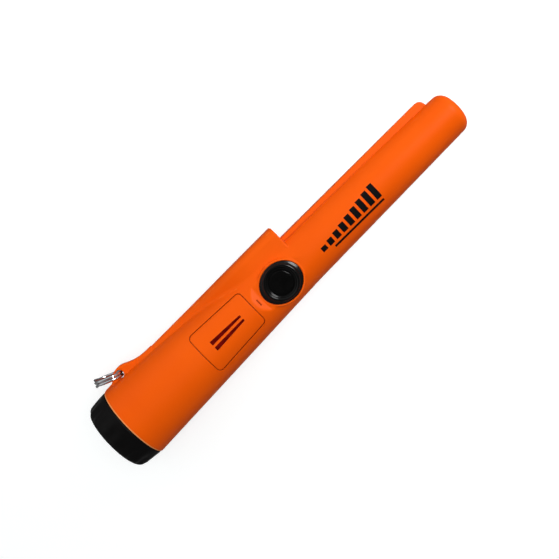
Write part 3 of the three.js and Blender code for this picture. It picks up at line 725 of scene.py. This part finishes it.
def housing_cavity():
    """The room inside the housing, with the cap's thread standing into its mouth."""
    profile = [(RIM - 1, 17.8), (RIM + 0.05, 17.55), (RIM + 0.4, MOUTH_RADIUS)]
    profile += [(NECK_END + 0.7, MOUTH_RADIUS), (NECK_END + 0.7, NECK_BORE + 0.2), (57.5, NECK_BORE + 0.2)]
    profile += [(60, float(cone_radius(np.array(60.0))) - WALL), (STEP, WAIST_RADIUS - WALL)]
    profile += [(TOTAL - TIP_FILLET, TIP_RADIUS - WALL - 0.2), (TOTAL - WALL - 0.2, 5.5)]
    cavity = loft("cavity", turned_rings(profile, 180))
    return boolean(cavity, thread_ridge(MOUTH_RADIUS + 0.4, NECK_RADIUS + 0.25, math.pi))


def hood_hollow():
    """The room inside the hood, a constant distance inside its skin."""
    side = 1.6
    turn = np.linspace(0, math.pi / 2, 9)
    rings = []
    for x in np.linspace(66, STEP - WALL, 25):
        half, top = hood_half_width(x) - side, hood_top(x) - side
        r = 0.4 * half
        right = [(0, half)] + [(top - r + r * math.sin(t), half - r + r * math.cos(t)) for t in turn]
        rings.append([(x, y, z) for y, z in right + [(y, -z) for y, z in reversed(right)]])
    return loft("hood_hollow", rings)


def oval_ring(z, grow, count=192):
    """One ring round the button's oval, grown outwards."""
    angle = np.arange(count) * 2 * math.pi / count
    x = BUTTON_X + (SURROUND[0] + grow) * np.cos(angle)
    y = BUTTON_Y + (SURROUND[1] + grow) * np.sin(angle)
    return np.stack((x, y, np.full(count, z)), axis=1)


def button_floor():
    return loft("button_floor", [oval_ring(9.4, 0.9), oval_ring(ISLAND_TOP - 0.9, 0.9)])


def button_recess():
    """The room of the button, whose mouth is rounded outwards."""
    lip = 0.35
    gap = 0.1
    rings = [oval_ring(11.25, gap), oval_ring(ISLAND_TOP - lip, gap)]
    for t in np.linspace(0.15, 1, 7) * math.pi / 2:
        rings.append(oval_ring(ISLAND_TOP - lip + lip * math.sin(t), gap + lip * (1 - math.cos(t))))
    rings.append(oval_ring(22, gap + lip))
    return loft("recess", rings)


def drain_slot():
    """A short slot with round ends in the ramp behind the button."""
    half, reach = 0.35, 1.5
    turns = np.linspace(-math.pi / 2, math.pi / 2, 8)
    outline = [(half * math.sin(t), reach + half * math.cos(t)) for t in turns]
    outline += [(-x, -y) for x, y in outline]
    x, y = BUTTON_X - SURROUND[0] - 2.95, BUTTON_Y + 0.6
    return loft("drain_slot", [[(x + dx, y + dy, z) for dx, dy in outline] for z in (ISLAND_TOP, 18)])


PANEL = (60.4, 92.1, 10.75, 9.3)  # start, end, half width at the start, half width at the end
PANEL_LEAN = 0.018  # sideways shift of the panel and its slots per millimetre along it
PANEL_GROOVE = 0.35
PANEL_THICKNESS = 1.0
PANEL_MIDDLE = -8.95  # growth at which the outline has closed to a line


def panel_ring(grow, inset):
    """The speaker panel's outline laid on the grip, grown outwards and set back into the grip."""
    x0, x1 = PANEL[0] - grow, PANEL[1] + grow
    w0, w1 = PANEL[2] + grow, PANEL[3] + grow
    r = min(max(2.0 + grow, 0.25), 0.45 * w1)
    corners = ((x1 - r, w1 - r, 0), (x0 + r, w0 - r, 90), (x0 + r, r - w0, 180), (x1 - r, r - w1, 270))
    outline = []
    for i, (cx, cy, start) in enumerate(corners):
        turns = [math.radians(start + 90 * k / 7) for k in range(8)]
        bend = [(cx + r * math.cos(t), cy + r * math.sin(t)) for t in turns]
        nx, ny, following = corners[(i + 1) % 4]
        t = math.radians(following)
        ahead = (nx + r * math.cos(t), ny + r * math.sin(t))
        pieces = 30 if i % 2 == 0 else 18
        outline += bend
        for k in range(1, pieces):
            outline.append((mix(bend[-1][0], ahead[0], k / pieces), mix(bend[-1][1], ahead[1], k / pieces)))
    x, y = np.array(outline).T
    y = y + PANEL_LEAN * (x - PANEL[0])
    return np.stack((x, y, np.sqrt((cone_radius(x) - inset) ** 2 - y ** 2)), axis=1)


def panel_fill(start, end, count, inset):
    return [panel_ring(grow, inset) for grow in np.linspace(start, end, count)]


def panel_recess():
    """The seat of the speaker panel, with a rounded mouth."""
    lip = 0.22
    rings = panel_fill(PANEL_MIDDLE, PANEL_GROOVE, 12, PANEL_THICKNESS + 0.3)
    for t in np.linspace(0, math.pi / 2, 6):
        rings.append(panel_ring(PANEL_GROOVE + lip * (1 - math.cos(t)), lip * (1 - math.sin(t))))
    return loft("panel_recess", rings + panel_fill(PANEL_GROOVE + lip, PANEL_MIDDLE, 8, -0.8))


def panel_window():
    ring = panel_ring(-2, 0)
    low, high = ring.copy(), ring.copy()
    low[:, 2], high[:, 2] = 5, 25
    return loft("panel_window", [low, high])


def flared_hole(name, start, end, radius, flare, axis, centre):
    """A round hole from start to end along an axis, rounded outwards where it ends."""
    turns = np.linspace(0, math.pi / 2, 6)
    profile = [(start, radius)]
    profile += [(end - flare + flare * math.sin(t), radius + flare * (1 - math.cos(t))) for t in turns]
    profile.append((end + 3, radius + flare))
    return loft(name, turned_rings(profile, 72, axis, centre))


def ear_hole():
    centre = (EAR_HOLE[0], EAR_HOLE[1], 0)
    front = flared_hole("ear_hole", -0.1, 2.5, EAR_HOLE_RADIUS, 0.4, "z", centre)
    rear = flared_hole("ear_hole_rear", -0.1, 2.5, EAR_HOLE_RADIUS, 0.4, "z", centre)
    rear.data.transform(Matrix.Scale(-1, 4, (0, 0, 1)))
    rear.data.flip_normals()
    return boolean(front, rear, "UNION")


def housing():
    """The shell: its skin less everything that is hollow."""
    hollow = boolean(housing_cavity(), hood_hollow(), "UNION")
    boolean(hollow, button_floor())
    plunger_hole = loft("plunger_hole", turned_rings([(5, 5), (12.2, 5)], 72, "z", (BUTTON_X, BUTTON_Y, 0)))
    lamp_hole = flared_hole("lamp_hole", STEP - 5, STEP, 2.6, 0.3, "x", (0, LAMP_Y, 0))
    openings = (button_recess(), drain_slot(), plunger_hole, panel_recess(), panel_window())
    for cutter in openings + (lamp_hole, ear_hole()):
        boolean(hollow, cutter, "UNION")
    shell = boolean(housing_skin(), hollow)
    return finish_piece(shell, "housing", MATERIALS["orange_plastic"], "orange_plastic", "main_housing")


housing()


# ---------------------------------------------------------------- speaker panel

def speaker_slot(side):
    """A long wedge-shaped slot, rounded at its corners."""
    corners = ((66.6, 0.6), (85.4, 0.6), (85.4, 1.77), (66.6, 2.75))
    r = 0.3
    outline = []
    for i, corner in enumerate(corners):
        here = Vector(corner)
        before = here + r * (Vector(corners[i - 1]) - here).normalized()
        after = here + r * (Vector(corners[(i + 1) % 4]) - here).normalized()
        for k in range(6):
            t = k / 5
            outline.append((1 - t) ** 2 * before + 2 * t * (1 - t) * here + t * t * after)
    places = [(p.x, side * p.y + PANEL_LEAN * (p.x - PANEL[0])) for p in outline]
    return loft("slot", [[(x, y, z) for x, y in places] for z in (10, 25)])


def speaker_cover():
    edge = 0.25
    rings = panel_fill(PANEL_MIDDLE, 0, 12, PANEL_THICKNESS)
    for t in np.linspace(0, math.pi / 2, 6):
        rings.append(panel_ring(edge * (math.cos(t) - 1), edge * (1 - math.sin(t))))
    cover = loft("speaker_panel", rings + panel_fill(-edge, PANEL_MIDDLE, 14, 0)[1:])
    for side in (1, -1):
        boolean(cover, speaker_slot(side))
    return finish_piece(cover, "housing", MATERIALS["orange_plastic"], "orange_plastic", "speaker_cover")


speaker_cover()


# ---------------------------------------------------------------- push button

def upright_oval(name, profile, count=192):
    """A turned form about the button's axis, squeezed into the oval beyond the round ring."""
    round_radius = 7.9
    angle = np.arange(count) * 2 * math.pi / count
    squeeze = 1 - SURROUND[1] / SURROUND[0]
    rings = []
    for rise, radius in profile:
        blend = max(0, (radius - round_radius) / (SURROUND[0] - round_radius))
        x = BUTTON_X + radius * np.cos(angle)
        y = BUTTON_Y + radius * np.sin(angle) * (1 - squeeze * blend)
        rings.append(np.stack((x, y, np.full(count, ISLAND_TOP + rise)), axis=1))
    return ring_loft(name, rings)


def button_surround():
    """Rubber ring with a round bead, which slopes down to the oval edge of its seat."""
    profile = [(-1.15, 7.2), (-1.15, 10.75)] + arc(-0.9, 10.75, 0.25, 180, 90, 3)[1:]
    profile += arc(-0.15, 10.75, 0.25, 90, 20, 4)
    profile += [(0.2, 10.4), (0.42, 9.8), (0.75, 9.3)]
    profile += arc(0.4, 8.15, 1.15, 68, -62, 14)
    profile += [(0.42, 6.95), (0.2, 6.55)] + arc(0.02, 6.32, 0.18, 10, -170, 6)
    profile += [(-0.15, 6.6), (-0.15, 7.2)]
    ring = upright_oval("button_ring", profile)
    return finish_piece(ring, "housing", MATERIALS["black_rubber"], "black_rubber", "button_surround")


def power_button():
    """Round push button: a shallow dish inside a softly rounded rim."""
    profile = [(-1.05, 0.2), (-1.05, 6.8), (-0.45, 6.8), (-0.45, 5.75)]
    profile += arc(0.2, 5.3, 0.45, 90, 10, 8)
    profile += [(0.635, 5.0), (0.6, 4.6), (0.53, 4.0), (0.45, 3.2), (0.38, 2.2), (0.33, 1.2), (0.31, 0.3)]
    axis = (BUTTON_X, BUTTON_Y, ISLAND_TOP)
    button = loft("push_button", turned_rings(profile, 160, "z", axis))
    return finish_piece(button, "button", MATERIALS["black_rubber"], "black_rubber", "power_button")


button_surround()
power_button()


# ---------------------------------------------------------------- battery cap

FLUTES = 16
FLUTE_DEPTH = 0.55


def cap_flutes(x, radius, angle):
    """Radius of the cap's side with its soft lengthwise flutes, which fade towards the housing."""
    fade = 1 - smoothstep(x, 5, CAP_LENGTH - 0.7)
    outer = smoothstep(radius, NECK_RADIUS + 0.3, NECK_RADIUS + 1.6)
    return radius - FLUTE_DEPTH * fade * outer * (0.5 - 0.5 * np.cos(FLUTES * angle))


def cap_pockets():
    """Two half-round pockets in the end face, with the twist bar left between them."""
    lip = 0.4
    rings = [(-2, 12.5 + lip)]
    rings += [(lip - lip * math.sin(t), 12.5 + lip * (1 - math.cos(t))) for t in np.linspace(1.5, 0, 6)]
    rings += [(2.6, 12.45), (2.85, 12.3), (3, 12.0)]
    disc = loft("pockets", turned_rings(rings, 128))
    half = 2.6
    turns = np.linspace(0, math.pi / 2, 6)
    side = [(lip - lip * math.cos(t), half - lip + lip * math.sin(t)) for t in turns]
    side = [(-3, half - lip)] + side + [(3.5, half + 0.1)]
    outline = side + [(x, -z) for x, z in reversed(side)]
    bar = loft("bar", [[(x, y, z) for x, z in outline] for y in (-15, 15)])
    return boolean(disc, bar)


def battery_cap():
    edge = 3.6
    rear, front = 18.8, 19.45
    profile = [(0, 0.2), (0, 6), (0, 12), (0, 14.6)]
    profile += arc(edge, rear - edge, edge, 180, 90, 14)
    for x in np.arange(edge + 0.8, 11.2):
        profile.append((x, front - (front - rear) * ((11.5 - x) / (11.5 - edge)) ** 1.6))
    profile += arc(11.5, front - 0.5, 0.5, 90, 0, 6)
    profile += [(CAP_LENGTH, 17.6), (CAP_LENGTH, NECK_RADIUS)]
    profile += [(13.05, NECK_RADIUS), (13.05, 15.85), (14.45, 15.85)]
    profile += [(14.45, NECK_RADIUS), (NECK_END - 0.3, NECK_RADIUS), (NECK_END, NECK_RADIUS - 0.3)]
    profile += [(NECK_END, NECK_BORE), (5.6, NECK_BORE), (5.2, NECK_BORE - 0.4), (5.2, 0.2)]
    angle = np.arange(FLUTES * 20) * 2 * math.pi / (FLUTES * 20)
    rings = []
    for x, radius in profile:
        r = cap_flutes(x, radius, angle)
        rings.append(np.stack((np.full(len(angle), x), r * np.cos(angle), r * np.sin(angle)), axis=1))
    cap = loft("screw_cap", rings)
    boolean(cap, thread_ridge(NECK_RADIUS - 0.3, NECK_RADIUS + 0.65, 0), "UNION")
    boolean(cap, cap_pockets())
    return finish_piece(cap, "cap", MATERIALS["black_plastic"], "black_plastic", "battery_cap")


def cap_o_ring():
    profile = arc(13.75, 16.5, 0.55, 0, 360, 20)[:-1]
    ring = ring_loft("seal_ring", turned_rings(profile, 160))
    return finish_piece(ring, "cap_seal", MATERIALS["black_rubber"], "black_rubber", "cap_o_ring")


battery_cap()
cap_o_ring()


# ---------------------------------------------------------------- lanyard ring

def lanyard_ring():
    """A split ring: two flat turns of round wire that change places at the end far from the ear."""
    radius, wire, pitch, slack = 6.6, 0.7, 1.5, 0.85
    slope = math.radians(157.4)
    along = Vector((math.cos(slope), math.sin(slope), 0))
    across = Vector((0, 0, 1))
    normal = along.cross(across)
    centre = Vector((EAR_HOLE[0], EAR_HOLE[1], 0)) + (radius - slack) * along
    steps, around = 240, 24
    rings = []
    for i in range(steps + 1):
        share = i / steps
        angle = 4 * math.pi * share
        side = pitch * (smoothstep(share, 0.43, 0.57) - 1)
        side += pitch / 2 * (smoothstep(share, 0, 0.07) + smoothstep(share, 0.93, 1))
        outwards = math.cos(angle) * along + math.sin(angle) * across
        middle = centre + radius * outwards + float(side) * normal
        end = min(share, 1 - share) * 4 * math.pi * radius
        thick = wire * math.sqrt(1 - max(0, 1 - end / 0.25) ** 2 * 0.6)
        turns = [2 * math.pi * k / around for k in range(around)]
        rings.append([middle + thick * (math.cos(t) * outwards + math.sin(t) * normal) for t in turns])
    ring = loft("split_ring", rings)
    return finish_piece(ring, "ring", MATERIALS["steel"], "steel", "lanyard_ring")


lanyard_ring()


# ---------------------------------------------------------------- lamp lens

def lamp_lens():
    """A clear plug with a low dome, flush with the front of the hood."""
    profile = [(121.4, 0.1), (121.4, 2.2)] + arc(121.5, 2.2, 0.1, 180, 90, 3)[1:]
    profile += arc(123.6, 2.05, 0.25, 90, 30, 4)
    profile += [(124.4 - 0.55 * (r / 2.0) ** 2, r) for r in np.linspace(1.9, 0.1, 10)]
    lens = loft("lens", turned_rings(profile, 96, "x", (0, LAMP_Y, 0)))
    return finish_piece(lens, "housing", MATERIALS["clear_plastic"], "clear_plastic", "lamp_lens")


lamp_lens()


# ---------------------------------------------------------------- printed marking

def printed_bar(x0, x1, low, high):
    """A patch of ink on the crown of the shaft, between two places along it and two arc lengths."""
    rings = []
    for share in np.linspace(0, 1, max(3, round((high - low) / 0.5))):
        length = mix(low, high, share)
        ring = []
        for x, ink in ((x0, 0.02), (x1, 0.02), (x1, -0.1), (x0, -0.1)):
            r = float(cone_radius(np.array(x)))
            angle = length / r
            ring.append((x, (r + ink) * math.sin(angle), (r + ink) * math.cos(angle)))
        rings.append(ring)
    return loft("ink", rings)


def printed_marking():
    """Plain rising bars, as on a signal meter, over a thin line."""
    count, start, pitch = 9, 134.0, 4.4
    marking = printed_bar(start + 6, start + count * pitch - 1.6, -7.4, -6.2)
    for i in range(count):
        x = start + i * pitch
        boolean(marking, printed_bar(x, x + 3.0, -4.8, -2.2 + 0.72 * i), "UNION")
    marking.name = "printed_bars"
    return finish_piece(marking, "housing", MATERIALS["ink"], "black_plastic")


printed_marking()


# ---------------------------------------------------------------- floor

def floor():
    """A pale floor that touches the probe under its cap end and under its tip.

    It is paler and glows a little for the camera alone, as a white studio ground does.
    """
    fall = (GRIP_RADIUS - TIP_RADIUS) / (TOTAL - TIP_FILLET - CAP_LENGTH)
    size = 4000
    play = 0.05
    corners = []
    for x, y in ((-size, -size), (size, -size), (size, size), (-size, size)):
        corners.append((x, y, -GRIP_RADIUS - play + fall * (x - CAP_LENGTH)))
    mesh = bpy.data.meshes.new("floor")
    mesh.from_pydata((np.array(corners) * MM).tolist(), [], [(0, 1, 2, 3)])
    obj = bpy.data.objects.new("floor", mesh)
    bpy.context.scene.collection.objects.link(obj)
    s = Shader("pale_floor", linear(212, 212, 212), 0.7, gloss=0.1)
    seen = s.node("ShaderNodeLightPath").outputs["Is Camera Ray"]
    s.colour(s.mixed(seen, linear(130, 130, 130), linear(215, 218, 218)))
    s.surface.inputs["Emission Color"].default_value = (1, 1, 1, 1)
    s.link(s.maths("MULTIPLY", seen, 0.46), s.surface.inputs["Emission Strength"])
    mesh.materials.append(s.material)


floor()
